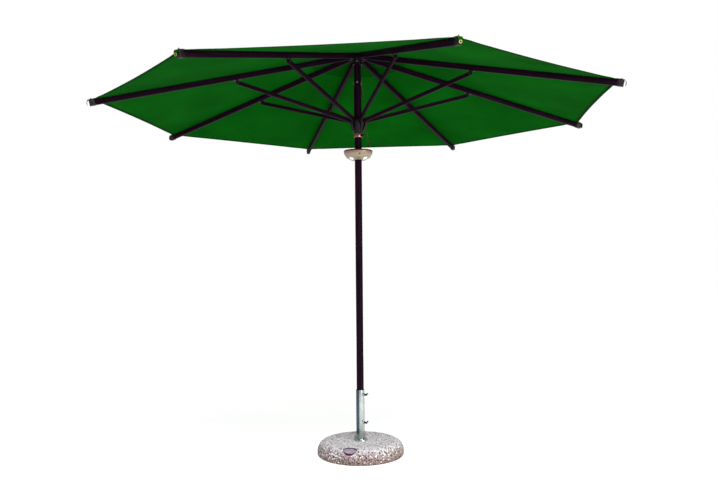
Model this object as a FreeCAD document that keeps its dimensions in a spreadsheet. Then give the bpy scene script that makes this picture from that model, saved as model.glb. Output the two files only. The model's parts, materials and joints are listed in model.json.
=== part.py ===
import FreeCAD, Part
import Sketcher
import math
import os
import re
from FreeCAD import Placement, Rotation, Vector

# A centre-pole patio umbrella on a round washed-concrete foot.
# Millimetres, +Z up, origin at the centre of the foot's underside.
# Eight ribs stand at 22.5 degrees plus steps of 45, so +X and -Y lie midway between ribs.

doc = FreeCAD.newDocument("PatioUmbrella")
sheet = doc.addObject("Spreadsheet::Sheet", "Dims")

dimensions = {
    # concrete foot and galvanised stem
    "base_radius": 254, "base_thickness": 84, "base_shoulder": 56, "base_foot_round": 14,
    "badge_raise": 2, "badge_half_width": 39, "badge_half_depth": 27, "badge_reach": 222,
    "flange_radius": 42, "flange_thickness": 7, "bolt_circle_radius": 34, "bolt_radius": 4,
    "bolt_depth": 45, "bolt_head_radius": 6.5, "bolt_head_height": 5,
    "tube_radius": 25, "tube_bore_radius": 22, "tube_top": 379,
    "nut_radius": 8.5, "nut_reach": 33, "screw_radius": 4, "screw_bore_radius": 4.06,
    "screw_tip_reach": 21.4, "screw_head_reach": 39, "screw_head_length": 12,
    "wing_span": 34, "wing_thickness": 4, "screw_height_upper": 353, "screw_height_lower": 190,
    # mast
    "mast_radius": 21, "mast_foot_radius": 21.4, "mast_foot_bottom": 84.4, "mast_foot_top": 94,
    "mast_bottom": 94.2, "mast_top": 2366,
    # hub and linkage
    "pivot_radius": 43, "hub_pivot_height": 2349, "tip_radius": 1500, "tip_height": 2002,
    "pin_radius": 2.5, "pin_bore_radius": 2.56,
    "hub_core_radius": 28, "hub_bottom": 2305, "hub_top": 2369, "hub_lug_radius": 49,
    "hub_lug_half": 14, "hub_slot_width": 18.8, "hub_bolt_height": 2322,
    "hub_pin_half": 15.2, "hub_bolt_radius": 3, "hub_bolt_head_radius": 4, "hub_bolt_head": 1.9,
    "rib_width": 18, "rib_height": 29, "cap_length": 30, "cap_wall": 1.2,
    "peg_radius": 2.6, "peg_height": 11, "peg_setback": 12,
    "bracket_reach": 690, "bracket_drop": 31, "bracket_length": 44, "bracket_wall": 2,
    "bracket_half_gap": 7.6, "cheek_radius": 8,
    "strut_width": 14, "strut_height": 21,
    # runner
    "runner_bore_radius": 21.6, "runner_core_radius": 32, "runner_lug_radius": 47.5,
    "runner_lug_half": 14, "runner_slot_width": 14.8, "runner_waist_radius": 40,
    "runner_neck_radius": 25.5, "runner_waist_drop": 41, "runner_neck_drop": 76,
    "runner_pin_half": 12.2, "cord_notch_reach": 42.2, "cord_notch_half": 3.4, "collar_radius": 24.6, "collar_height": 21,
    "knob_reach": 27, "knob_length": 12, "knob_radius": 7, "knob_shank_radius": 2.5,
    "knob_shank_bore": 2.56,
    # pulley and hoist cord
    "pulley_height": 2200, "pulley_radius": 27, "pulley_half": 5, "groove_radius": 21,
    "groove_half": 2.8, "pulley_slot_half": 28.5, "pulley_slot_width": 12,
    "axle_radius": 3, "axle_bore_radius": 3.06, "axle_head_radius": 6, "axle_head": 2.2,
    "cord_radius": 2.1, "cord_wrap_radius": 23.5, "knot_radius": 6, "ferrule_radius": 4.4,
    # canopy, crown and finial
    "canopy_thickness": 1.3, "canopy_lift": 17, "canopy_inner_radius": 62,
    "canopy_corner_radius": 1484, "hem_sag": 15, "seam_gap": 0.25,
    "crown_radius": 80, "crown_gap": 0.8, "finial_base_radius": 26, "finial_height": 40,
    # clip-on lamp
    "lamp_bore_radius": 21.6, "lamp_radius": 85.5, "lamp_bottom": 1737, "lamp_seam": 1786,
    "lamp_top": 1798, "lamp_wall": 2.2, "lamp_sleeve_radius": 24.2,
    "lens_half_length": 14, "lens_half_width": 11.5, "lens_depth": 3.6, "lens_reach": 56.5,
    "lens_height": 1744.2, "lens_tilt": 26.4, "board_height": 1768, "board_thickness": 1.6,
    "button_reach": 79.4, "button_height": 1766.3, "button_tilt": 58.6, "button_radius": 4.3,
    "button_hole_radius": 4.6, "button_stick_out": 2, "button_length": 9,
}
for row, (alias, number) in enumerate(dimensions.items(), start=1):
    sheet.set(f"A{row}", alias)
    sheet.set(f"B{row}", str(number))
    sheet.setAlias(f"B{row}", alias)
doc.recompute()

RIB_COUNT = 8
rib_pitch = 360 / RIB_COUNT
first_rib = rib_pitch / 2
upward = Vector(0, 0, 1)
along_x = Rotation(Vector(0, 1, 0), 90)
along_y = Rotation(Vector(1, 0, 0), -90)
parts = []


def size(alias):
    return float(sheet.get(alias))


def rule(text):
    # every alias has an underscore, so words such as abs stay as they are
    return re.sub(r"[a-z]+(?:_[a-z]+)+", lambda word: "Dims." + word.group(), str(text))


def bind(thing, **rules):
    for name, text in rules.items():
        thing.setExpression(name, rule(text))


def move(thing, at=(0, 0, 0), turn=Rotation()):
    thing.Placement = Placement(Vector(), turn)
    for letter, text in zip("xyz", at):
        thing.setExpression(f".Placement.Base.{letter}", rule(text))
    return thing


def carry(thing, frame):
    # sets a finished primitive down in another frame
    doc.recompute()
    for letter in "xyz":
        thing.setExpression(f".Placement.Base.{letter}", None)
    thing.Placement = frame * thing.Placement
    return thing


def cylinder(label, radius, height, at=(0, 0, 0), turn=Rotation()):
    thing = doc.addObject("Part::Cylinder", label)
    bind(thing, Radius=radius, Height=height)
    return move(thing, at, turn)


def box(label, length, width, height, at=(0, 0, 0), turn=Rotation()):
    thing = doc.addObject("Part::Box", label)
    bind(thing, Length=length, Width=width, Height=height)
    return move(thing, at, turn)


def cone(label, low, high, height, at=(0, 0, 0), turn=Rotation()):
    thing = doc.addObject("Part::Cone", label)
    bind(thing, Radius1=low, Radius2=high, Height=height)
    return move(thing, at, turn)


def hexagon(label, radius, height, at=(0, 0, 0), turn=Rotation()):
    thing = doc.addObject("Part::Prism", label)
    thing.Polygon = 6
    bind(thing, Circumradius=radius, Height=height)
    return move(thing, at, turn)


def sphere(label, radius, at=(0, 0, 0)):
    thing = doc.addObject("Part::Sphere", label)
    bind(thing, Radius=radius)
    return move(thing, at)


def cut(label, base, *tools):
    for count, tool in enumerate(tools, start=1):
        last = count == len(tools)
        result = doc.addObject("Part::Cut", label if last else f"{label}_step_{count}")
        result.Base = base
        result.Tool = tool
        base = result
    return base


def fuse(label, *things):
    result = doc.addObject("Part::MultiFuse", label)
    result.Shapes = list(things)
    result.Refine = True
    return result


def common(label, one, other):
    result = doc.addObject("Part::Common", label)
    result.Base = one
    result.Tool = other
    return result


def group(label, *things):
    result = doc.addObject("Part::Compound", label)
    result.Links = list(things)
    return result


def keep(label, thing, placement=None):
    thing.Label = label
    if placement is not None:
        thing.Placement = placement
    parts.append(thing)
    return thing


def origin_plane(body, role):
    return next(thing for thing in body.Origin.OriginFeatures if thing.Role == role)


def outline(body, label, role, corners):
    # a closed outline whose corners are each tied to the sheet
    sketch = body.newObject("Sketcher::SketchObject", label)
    sketch.AttachmentSupport = [(origin_plane(body, role), "")]
    sketch.MapMode = "FlatFace"
    count = len(corners)
    spread = [Vector(9 + math.cos(6.28 * k / count), math.sin(6.28 * k / count), 0) for k in range(count)]
    for k in range(count):
        sketch.addGeometry(Part.LineSegment(spread[k], spread[(k + 1) % count]), False)
    for k in range(count):
        sketch.addConstraint(Sketcher.Constraint("Coincident", k, 2, (k + 1) % count, 1))
    for k, corner in enumerate(corners):
        for direction, text in zip(("DistanceX", "DistanceY"), corner):
            place = sketch.addConstraint(Sketcher.Constraint(direction, -1, 1, k, 1, 1.0))
            sketch.setExpression(f"Constraints[{place}]", rule(text))
    return sketch


def turned(label, corners):
    # a turned piece: the outline (radius, height) swept once round the Z axis
    body = doc.addObject("PartDesign::Body", label)
    sketch = outline(body, label + "_outline", "XZ_Plane", corners)
    sweep = body.newObject("PartDesign::Revolution", label + "_turn")
    sweep.Profile = sketch
    sweep.ReferenceAxis = (sketch, ["V_Axis"])
    sweep.Angle = 360
    doc.recompute()
    return body


def slotted(body, label, inner, outer, width):
    # eight slots cut right through from above, one at each rib
    half = f"({width}) / 2"
    corners = [(inner, f"-{half}"), (outer, f"-{half}"), (outer, half), (inner, half)]
    sketch = outline(body, label + "_slot", "XY_Plane", corners)
    before = body.Shape.Volume
    pocket = body.newObject("PartDesign::Pocket", label + "_pocket")
    pocket.Profile = sketch
    pocket.Type = "ThroughAll"
    pocket.Midplane = True
    pattern = body.newObject("PartDesign::PolarPattern", label + "_pattern")
    pattern.Originals = [pocket]
    pattern.Axis = (origin_plane(body, "Z_Axis"), [""])
    pattern.Angle = 360
    pattern.Occurrences = RIB_COUNT
    body.Tip = pattern
    body.Placement = Placement(Vector(), Rotation(upward, first_rib))
    doc.recompute()
    if body.Shape.Volume > 0.98 * before:
        raise RuntimeError(label + ": the slots cut nothing")
    return body


def radial(angle, height=0, reach=0):
    # the frame of something that points outward at this azimuth
    turn = Rotation(upward, angle)
    return Placement(turn.multVec(Vector(reach, 0, 0)) + Vector(0, 0, height), turn)


# ---- the foot: concrete disc, badge, flange, bolts, tube, nuts and clamp screws

def disc_of_concrete(label, extra):
    grown = f" + {extra}"
    body = turned(label, [
        (0, 0), ("base_radius" + grown, 0),
        ("base_radius" + grown, "base_thickness" + grown), (0, "base_thickness" + grown),
    ])
    for name, height, round_rule in (
        ("shoulder", size("base_thickness") + extra * 1.0, "base_shoulder" + grown),
        ("foot_round", 0.0, "base_foot_round"),
    ):
        feature = body.Tip
        rims = [
            f"Edge{number}" for number, edge in enumerate(feature.Shape.Edges, start=1)
            if edge.Closed and abs(edge.BoundBox.ZMin - height) < 0.01 and edge.BoundBox.ZLength < 0.01
            and edge.BoundBox.XLength > size("base_radius")
        ]
        fillet = body.newObject("PartDesign::Fillet", f"{label}_{name}")
        fillet.Base = (feature, rims)
        bind(fillet, Radius=round_rule)
        body.Tip = fillet
        doc.recompute()
    return body


def make_foot():
    bolts = []
    for k in range(4):
        spin = 90 * k + 50
        x = f"bolt_circle_radius * {math.cos(math.radians(spin)):.6f}"
        y = f"bolt_circle_radius * {math.sin(math.radians(spin)):.6f}"
        shank = cylinder(f"bolt_shank_{k}", "bolt_radius", "bolt_depth + flange_thickness",
                         (x, y, "base_thickness - bolt_depth"))
        head = hexagon(f"bolt_head_{k}", "bolt_head_radius", "bolt_head_height",
                       (x, y, "base_thickness + flange_thickness"))
        bolts.append(fuse(f"flange_bolt_{k}", shank, head))
    bolt_group = group("flange_bolts", *bolts)
    disc = disc_of_concrete("concrete_disc", 0)
    keep("concrete_base", cut("concrete_base", disc, bolt_group))
    keep("flange_bolts", bolt_group)

    skin = disc_of_concrete("badge_skin", size("badge_raise"))
    oval = doc.addObject("Part::Ellipse", "badge_oval")
    bind(oval, MajorRadius="badge_half_width", MinorRadius="badge_half_depth")
    oval.Placement = radial(-98.6, 20, size("badge_reach")) * Placement(Vector(), Rotation(upward, 90))
    prism = doc.addObject("Part::Extrusion", "badge_prism")
    prism.Base = oval
    prism.DirMode = "Custom"
    prism.Dir = upward
    prism.Solid = True
    bind(prism, LengthFwd="base_thickness")
    keep("badge_plate", cut("badge_plate", common("badge_blank", skin, prism), disc))

    flange = cone("flange_blank", "flange_radius", "flange_radius - 2", "flange_thickness",
                  (0, 0, "base_thickness"))
    hole = cylinder("flange_hole", "tube_radius", "flange_thickness", (0, 0, "base_thickness"))
    keep("stem_flange", cut("stem_flange", flange, hole, bolt_group))

    tube = cylinder("tube_blank", "tube_radius", "tube_top - base_thickness", (0, 0, "base_thickness"))
    bore = cylinder("tube_bore", "tube_bore_radius", "tube_top", (0, 0, "base_thickness"))
    holes, nuts = [], []
    for name, height in (("upper", "screw_height_upper"), ("lower", "screw_height_lower")):
        hole = cylinder(f"screw_hole_{name}", "screw_bore_radius", "nut_reach * 2", turn=along_x)
        nut = hexagon(f"nut_{name}", "nut_radius", "nut_reach", turn=along_x)
        holes.append(carry(hole, radial(screw_azimuth, size(height))))
        nuts.append(carry(nut, radial(screw_azimuth, size(height))))
        shank = cylinder(f"shank_{name}", "screw_radius", "screw_head_reach - screw_tip_reach + 1",
                         ("screw_tip_reach", 0, 0), along_x)
        boss = cylinder(f"boss_{name}", "screw_radius + 2.4", "screw_head_length",
                        ("screw_head_reach", 0, 0), along_x)
        wing = box(f"wing_{name}", "screw_head_length - 2", "wing_thickness", "wing_span",
                   ("screw_head_reach + 2", "-wing_thickness / 2", "-wing_span / 2"))
        screw = fuse(f"clamp_screw_{name}", shank, boss, wing)
        lean = Placement(Vector(), Rotation(Vector(1, 0, 0), wing_lean[name]))
        keep(f"clamp_screw_{name}", screw, radial(screw_azimuth, size(height)) * lean)
    hole_group = group("screw_holes", *holes)
    keep("stem_tube", cut("stem_tube", tube, bore, hole_group))
    core = cylinder("nut_seat", "tube_radius", "tube_top", (0, 0, 0))
    keep("clamp_nuts", cut("clamp_nuts", group("nut_blanks", *nuts), core, hole_group))


# ---- the mast with its hub, pins, pulley and finial

def make_mast():
    keep("mast_foot", cylinder("mast_foot", "mast_foot_radius", "mast_foot_top - mast_foot_bottom",
                               (0, 0, "mast_foot_bottom")))
    axle = cylinder("axle_pin", "axle_radius", "2 * mast_radius", (0, "-mast_radius", "pulley_height"), along_y)
    heads = [
        cylinder(f"axle_head_{side}", "axle_head_radius", "axle_head", (0, start, "pulley_height"), along_y)
        for side, start in (("near", "-mast_radius - axle_head + 0.9"), ("far", "mast_radius - 0.9"))
    ]
    axle = fuse("pulley_axle", axle, *heads)
    bolt = cylinder("hub_bolt_shank", "hub_bolt_radius", "2 * hub_core_radius",
                    (0, "-hub_core_radius", "hub_bolt_height"), along_y)
    bolt_head = cylinder("hub_bolt_cap", "hub_bolt_head_radius", "hub_bolt_head",
                         (0, "-hub_core_radius - hub_bolt_head + 0.3", "hub_bolt_height"), along_y)
    bolt = fuse("hub_bolt", bolt, bolt_head)

    pole = cylinder("mast_pole", "mast_radius", "mast_top - mast_bottom", (0, 0, "mast_bottom"))
    slot = box("pulley_slot", "2 * mast_radius + 4", "pulley_slot_width", "2 * pulley_slot_half",
               ("-mast_radius - 2", "-pulley_slot_width / 2", "pulley_height - pulley_slot_half"))
    keep("mast", cut("mast", pole, slot, axle, bolt))
    keep("pulley_axle", axle)

    wheel = cylinder("wheel_blank", "pulley_radius", "2 * pulley_half", (0, "-pulley_half", "pulley_height"), along_y)
    ring = cut("groove", cylinder("groove_outer", "pulley_radius + 1", "2 * groove_half",
                                  (0, "-groove_half", "pulley_height"), along_y),
               cylinder("groove_inner", "groove_radius", "2 * groove_half",
                        (0, "-groove_half", "pulley_height"), along_y))
    wheel_bore = cylinder("wheel_bore", "axle_bore_radius", "2 * pulley_half",
                          (0, "-pulley_half", "pulley_height"), along_y)
    keep("pulley_wheel", cut("pulley_wheel", wheel, ring, wheel_bore))

    pins = ring_of_pins("rib_pins", "hub_pin_half", size("hub_pivot_height"))
    low, high = "hub_pivot_height - hub_lug_half", "hub_pivot_height + hub_lug_half"
    hub = turned("hub_turning", [
        ("mast_radius", "hub_bottom"), ("hub_core_radius", "hub_bottom"), ("hub_core_radius", low),
        ("hub_lug_radius", low), ("hub_lug_radius", high), ("hub_core_radius", high),
        ("hub_core_radius", "hub_top"), (0, "hub_top"), (0, "mast_top"), ("mast_radius", "mast_top"),
    ])
    slotted(hub, "hub", "hub_core_radius", "hub_lug_radius + 5", "hub_slot_width")
    keep("top_hub", cut("top_hub", hub, pins, bolt))
    keep("rib_pins", pins)
    keep("hub_bolt", bolt)

    slope = (size("hub_pivot_height") - size("tip_height")) / (size("tip_radius") - size("pivot_radius"))
    under = canopy_height(size("crown_radius")) + size("canopy_thickness") + size("crown_gap")
    edge = round(under, 3)
    rise = f"crown_radius * {slope:.6f}"
    keep("canopy_crown", turned("canopy_crown", [
        (0, f"{edge} + {rise}"), ("crown_radius", edge), ("crown_radius", f"{edge} + canopy_thickness"),
        (0, f"{edge} + canopy_thickness + {rise}"),
    ]))
    seat = f"{edge} + canopy_thickness"
    tall = "finial_height"
    keep("finial", turned("finial", [
        (0, f"{seat} + {rise}"),
        ("finial_base_radius", f"{seat} + (crown_radius - finial_base_radius) * {slope:.6f}"),
        ("finial_base_radius", f"{seat} + {rise} + 0.02 * {tall}"),
        ("0.5 * finial_base_radius", f"{seat} + {rise} + 0.16 * {tall}"),
        ("0.42 * finial_base_radius", f"{seat} + {rise} + 0.32 * {tall}"),
        ("0.8 * finial_base_radius", f"{seat} + {rise} + 0.55 * {tall}"),
        ("0.72 * finial_base_radius", f"{seat} + {rise} + 0.82 * {tall}"),
        ("0.25 * finial_base_radius", f"{seat} + {rise} + {tall}"), (0, f"{seat} + {rise} + {tall}"),
    ]))


def ring_of_pins(label, half, height):
    pins = []
    for k in range(RIB_COUNT):
        pin = cylinder(f"{label}_{k + 1}", "pin_radius", f"2 * {half}", (0, f"-{half}", 0), along_y)
        pins.append(carry(pin, rib_frame(k, height, 0)))
    return group(label, *pins)


# ---- ribs, struts and their fittings

def rib_azimuth(k):
    return first_rib + rib_pitch * k


def rib_frame(k, height, fall):
    # at the pivot circle, X outward and falling by this angle, Y along the pivot pin
    turn = Rotation(upward, rib_azimuth(k)) * Rotation(Vector(0, 1, 0), fall)
    out = Rotation(upward, rib_azimuth(k)).multVec(Vector(size("pivot_radius"), 0, 0))
    return Placement(out + Vector(0, 0, height), turn)


def canopy_height(radius):
    # underside of the cloth above a rib
    run = size("tip_radius") - size("pivot_radius")
    slope = (size("hub_pivot_height") - size("tip_height")) / run
    lift = size("canopy_lift") * math.hypot(1, slope)
    return size("hub_pivot_height") - slope * (radius - size("pivot_radius")) + lift


def pivot_eye(label, radius, width, reach, drop):
    return cylinder(label, radius, width, (reach, f"-({width}) / 2", f"-({drop})"), along_y)


def make_rib(k, fall, length):
    tag = k + 1
    frame = rib_frame(k, size("hub_pivot_height"), fall)
    bar = box(f"rib_bar_{tag}", length, "rib_width", "rib_height", (0, "-rib_width / 2", "-rib_height / 2"))
    nose = pivot_eye(f"rib_nose_{tag}", "rib_height / 2", "rib_width", 0, 0)
    hole = pivot_eye(f"rib_hole_{tag}", "pin_bore_radius", "rib_width + 2", 0, 0)
    keep(f"rib_{tag}", cut(f"rib_{tag}", fuse(f"rib_blank_{tag}", bar, nose), hole), frame)

    # U-shaped bracket under the rib, with the rivet that carries the strut
    drop = "bracket_drop"
    floor = "rib_height / 2 + bracket_wall"
    web = box(f"web_{tag}", "bracket_length", "2 * (bracket_half_gap + bracket_wall)", "bracket_wall",
              ("bracket_reach - bracket_length / 2", "-bracket_half_gap - bracket_wall", f"-({floor})"))
    cheeks = []
    for side, start in (("left", "-bracket_half_gap - bracket_wall"), ("right", "bracket_half_gap")):
        leg = box(f"leg_{side}_{tag}", "2 * cheek_radius", "bracket_wall", f"{drop} - rib_height / 2 - bracket_wall",
                  ("bracket_reach - cheek_radius", start, f"-{drop}"))
        toe = cylinder(f"toe_{side}_{tag}", "cheek_radius", "bracket_wall", ("bracket_reach", start, f"-{drop}"),
                       along_y)
        cheeks += [leg, toe]
    rivet = pivot_eye(f"rivet_{tag}", "pin_radius", "2 * (bracket_half_gap + bracket_wall) + 2",
                      "bracket_reach", drop)
    bracket = fuse(f"bracket_{tag}", web, *cheeks, rivet)

    # end cap with the peg that holds the canopy's eyelet
    start = f"{length} - cap_length"
    shell = box(f"cap_shell_{tag}", "cap_length + cap_wall", "rib_width + 2 * cap_wall",
                "rib_height + 2 * cap_wall", (start, "-rib_width / 2 - cap_wall", "-rib_height / 2 - cap_wall"))
    inside = box(f"cap_inside_{tag}", "cap_length", "rib_width", "rib_height",
                 (start, "-rib_width / 2", "-rib_height / 2"))
    cap = cut(f"cap_{tag}", shell, inside)
    peg = cylinder(f"peg_{tag}", "peg_radius", "peg_height",
                   (f"{length} - peg_setback", 0, "rib_height / 2 + cap_wall - 0.8"))
    inside_peg = cut(f"peg_trim_{tag}", peg, inside)
    capped = fuse(f"tip_{tag}", cap, inside_peg)
    keep(f"rib_fittings_{tag}", group(f"rib_fittings_{tag}", bracket, capped), frame)


def make_strut(k, span, climb):
    # from the runner pivot, X outward and climbing to the rib's bracket
    tag = k + 1
    height = 2 * link["drop_to_bracket"]
    frame = rib_frame(k, size("hub_pivot_height") - height, -climb)
    bar = box(f"strut_bar_{tag}", span, "strut_width", "strut_height", (0, "-strut_width / 2", "-strut_height / 2"))
    eyes = [pivot_eye(f"strut_eye_{end}_{tag}", "strut_height / 2", "strut_width", reach, 0)
            for end, reach in (("inner", 0), ("outer", span))]
    holes = [pivot_eye(f"strut_hole_{end}_{tag}", "pin_bore_radius", "strut_width + 2", reach, 0)
             for end, reach in (("inner", 0), ("outer", span))]
    blank = fuse(f"strut_blank_{tag}", bar, *eyes)
    keep(f"strut_{tag}", cut(f"strut_{tag}", blank, *holes), frame)


# ---- canopy: one gore over each rib, seams midway between ribs

def panel_point(k, radius):
    angle = math.radians(rib_azimuth(k))
    return Vector(radius * math.cos(angle), radius * math.sin(angle), canopy_height(radius))


def make_gore(k):
    halves = []
    for side in (-1, 1):
        inner = panel_point(k, size("canopy_inner_radius"))
        corner = panel_point(k, size("canopy_corner_radius"))
        next_inner = panel_point(k + side, size("canopy_inner_radius"))
        next_corner = panel_point(k + side, size("canopy_corner_radius"))
        back = (corner - next_corner).normalize() * size("seam_gap")
        along = (inner - corner).normalize()
        chord = (corner - next_corner).Length
        middle = (corner + next_corner) * 0.5
        inward = (next_inner + inner - corner - next_corner).normalize()
        deep = middle + inward * size("hem_sag")
        # the hem is an arc through both corners, cut at the seam
        radius = (chord * chord / 4 + size("hem_sag") ** 2) / (2 * size("hem_sag"))
        centre = deep - inward * radius
        quarter_way = (corner - centre).normalize() + (deep + back - centre).normalize()
        bend = centre + quarter_way.normalize() * radius
        seam_outer = deep + back
        seam_inner = (inner + next_inner) * 0.5 + back
        edges = [
            Part.LineSegment(inner, corner).toShape(),
            Part.Arc(corner, bend, seam_outer).toShape(),
            Part.LineSegment(seam_outer, seam_inner).toShape(),
            Part.LineSegment(seam_inner, inner).toShape(),
        ]
        face = Part.Face(Part.Wire(edges))
        halves.append(face.extrude(upward * size("canopy_thickness")))
    gore = doc.addObject("Part::Feature", f"canopy_gore_{k + 1}")
    gore.Shape = halves[0].fuse(halves[1])
    keep(f"canopy_gore_{k + 1}", gore)


# ---- runner, its pins, collar and lock knob

def make_runner():
    height = size("hub_pivot_height") - 2 * link["drop_to_bracket"]
    pivot = f"{height:.6f}"
    pins = ring_of_pins("strut_pins", "runner_pin_half", height)
    low, high = f"{pivot} - runner_lug_half", f"{pivot} + runner_lug_half"
    neck = f"{pivot} - runner_neck_drop"
    body = turned("runner_turning", [
        ("runner_bore_radius", neck), ("runner_neck_radius", neck),
        ("runner_waist_radius", f"{pivot} - runner_waist_drop"), ("runner_lug_radius", low),
        ("runner_lug_radius", high), ("runner_bore_radius", high),
    ])
    slotted(body, "runner", "runner_core_radius", "runner_lug_radius + 5", "runner_slot_width")
    # the falling side of the hoist cord runs down a notch in one lug
    notch = box("cord_notch", "runner_lug_radius - cord_notch_reach + 3", "2 * cord_notch_half",
                "runner_neck_drop + 2 * runner_lug_half", ("cord_notch_reach", "-cord_notch_half", neck))
    keep("runner", cut("runner", body, pins, notch))
    keep("strut_pins", pins)

    middle = height - size("runner_neck_drop") - size("collar_height") / 2
    band = cylinder("collar_band", "collar_radius", "collar_height", (0, 0, f"{neck} - collar_height"))
    bore = cylinder("collar_bore", "runner_bore_radius", "collar_height", (0, 0, f"{neck} - collar_height"))
    hole = cylinder("knob_hole", "knob_shank_bore", "2 * collar_radius", turn=along_x)
    carry(hole, radial(knob_azimuth, middle))
    keep("runner_collar", cut("runner_collar", band, bore, hole))
    shank = cylinder("knob_shank", "knob_shank_radius", "knob_reach - runner_bore_radius",
                     ("runner_bore_radius", 0, 0), along_x)
    grip = cylinder("knob_grip", "knob_radius", "knob_length", ("knob_reach", 0, 0), along_x)
    knob = fuse("lock_knob", shank, grip)
    keep("lock_knob", knob, radial(knob_azimuth, middle))


# ---- hoist cord: up the mast, over the pulley and down beside the runner

def cord_route():
    wrap = size("cord_wrap_radius")
    wheel = Vector(0, 0, size("pulley_height"))
    top_of_runner = size("hub_pivot_height") - 2 * link["drop_to_bracket"] + size("runner_lug_half")
    tied = Vector(-wrap, 0, top_of_runner + 0.5)
    hanging = [Vector(52, 0, 1919), Vector(54.4, 0, 1876), Vector(58.8, 0, 1850), Vector(64.6, 0, 1825)]
    # the loaded side leaves the wheel along the tangent to the first hanging point
    reach = hanging[0] - wheel
    angle = math.atan2(reach.z, reach.x) + math.acos(wrap / math.hypot(reach.x, reach.z))
    leaves = wheel + Vector(math.cos(angle), 0, math.sin(angle)) * wrap
    return tied, wheel, leaves, hanging


def make_cord():
    tied, wheel, leaves, hanging = cord_route()
    wrap = size("cord_wrap_radius")
    left = wheel + Vector(-wrap, 0, 0)
    edges = [Part.LineSegment(tied, left).toShape(), Part.Arc(left, wheel + upward * wrap, leaves).toShape()]
    at = leaves
    stops = [leaves] + hanging
    for before, corner, after in zip(stops, stops[1:], stops[2:]):
        one, two = (before - corner), (after - corner)
        turn = math.pi - one.getAngle(two)
        trim = 0.45 * min(one.Length, two.Length)
        radius = trim / math.tan(turn / 2)
        enter = corner + one.normalize() * trim
        leave = corner + two.normalize() * trim
        inward = (one + two).normalize()
        bend = corner + inward * (trim / math.sin(turn / 2) * (1 / math.cos(turn / 2) - 1) * math.cos(turn / 2))
        edges += [Part.LineSegment(at, enter).toShape(), Part.Arc(enter, bend, leave).toShape()]
        at = leave
        print(f"cord arc radius {radius:.0f} mm")
    edges.append(Part.LineSegment(at, hanging[-1]).toShape())
    path = Part.Wire(edges)
    section = Part.Wire([Part.Circle(tied, upward, size("cord_radius")).toShape()])
    tube = path.makePipeShell([section], True, True)
    ideal = math.pi * size("cord_radius") ** 2 * path.Length
    print(f"hoist cord length {path.Length:.1f} mm, volume ratio {tube.Volume / ideal:.4f}")
    cord = doc.addObject("Part::Feature", "hoist_cord")
    cord.Shape = tube
    keep("hoist_cord", cord)
    ferrule = sphere("cord_ferrule", "ferrule_radius", tuple(hanging[1]))
    knot = sphere("cord_end_knot", "knot_radius", (hanging[-1].x + 1, 0, hanging[-1].z - 4))
    keep("cord_knots", group("cord_knots", ferrule, knot))


# ---- clip-on lamp round the mast

def make_lamp():
    bore, sleeve, wall = "lamp_bore_radius", "lamp_sleeve_radius", "lamp_wall"
    low, seam, rim = "lamp_bottom", "lamp_seam", "lamp_radius"
    bowl = turned("lamp_bowl", [
        (bore, low), (f"0.49 * {rim}", low), (f"0.82 * {rim}", f"{low} + 14"),
        (f"0.97 * {rim}", f"{low} + 35"), (rim, seam), (f"{rim} - {wall}", seam),
        (f"0.97 * {rim} - {wall}", f"{low} + 36"), (f"0.82 * {rim} - 1.4", f"{low} + 16"),
        (f"0.49 * {rim}", f"{low} + {wall}"), (sleeve, f"{low} + {wall}"), (sleeve, seam), (bore, seam),
    ])
    lenses = []
    for k in range(4):
        spin = lens_azimuth + 90 * k
        oval = doc.addObject("Part::Ellipse", f"lens_oval_{k}")
        bind(oval, MajorRadius="lens_half_length", MinorRadius="lens_half_width")
        face = radial(spin, size("lens_height"), size("lens_reach"))
        lean = Rotation(Vector(0, 1, 0), 180 - size("lens_tilt"))
        oval.Placement = face * Placement(Vector(), lean)
        lens = doc.addObject("Part::Extrusion", f"lens_{k}")
        lens.Base = oval
        lens.DirMode = "Custom"
        lens.Dir = face.Rotation.multVec(lean.multVec(upward))
        lens.Solid = True
        bind(lens, LengthFwd="lens_depth", LengthRev="lens_depth")
        lenses.append(lens)
    lens_group = group("lamp_lenses", *lenses)
    # the push button stands square to the bowl's steep face
    button_face = radial(button_azimuth, size("button_height"), size("button_reach"))
    button_face = button_face * Placement(Vector(), Rotation(Vector(0, 1, 0), 180 - size("button_tilt")))
    hole = carry(cylinder("button_hole", "button_hole_radius", "2 * button_length",
                          (0, 0, "-button_length")), button_face)
    keep("lamp_body", cut("lamp_body", bowl, lens_group, hole))
    keep("lamp_lenses", lens_group)
    keep("lamp_button", carry(cylinder("lamp_button", "button_radius", "button_length",
                                       (0, 0, "button_stick_out - button_length")), button_face))
    keep("lamp_cover", turned("lamp_cover", [
        (bore, seam), (bore, "lamp_top"), (f"0.47 * {rim}", "lamp_top"), (f"0.96 * {rim}", "lamp_top - 4"),
        (rim, "lamp_top - 8"), (rim, seam), (f"{rim} - {wall}", seam), (f"{rim} - {wall}", "lamp_top - 8.7"),
        (f"0.95 * {rim}", "lamp_top - 6.2"), (f"0.47 * {rim}", f"lamp_top - {wall}"),
        (sleeve, f"lamp_top - {wall}"), (sleeve, seam),
    ]))
    board = cylinder("board_blank", "0.72 * lamp_radius", "board_thickness", (0, 0, "board_height"))
    board_hole = cylinder("board_hole", "lamp_sleeve_radius", "board_thickness", (0, 0, "board_height"))
    keep("lamp_led_board", cut("lamp_led_board", board, board_hole))


screw_azimuth = -35
wing_lean = {"upper": 90, "lower": 100}
knob_azimuth = -35
lens_azimuth = -128
button_azimuth = -76.5

run = size("tip_radius") - size("pivot_radius")
fall = size("hub_pivot_height") - size("tip_height")
rib_fall = math.degrees(math.atan2(fall, run))
rib_length = math.hypot(run, fall)
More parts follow.
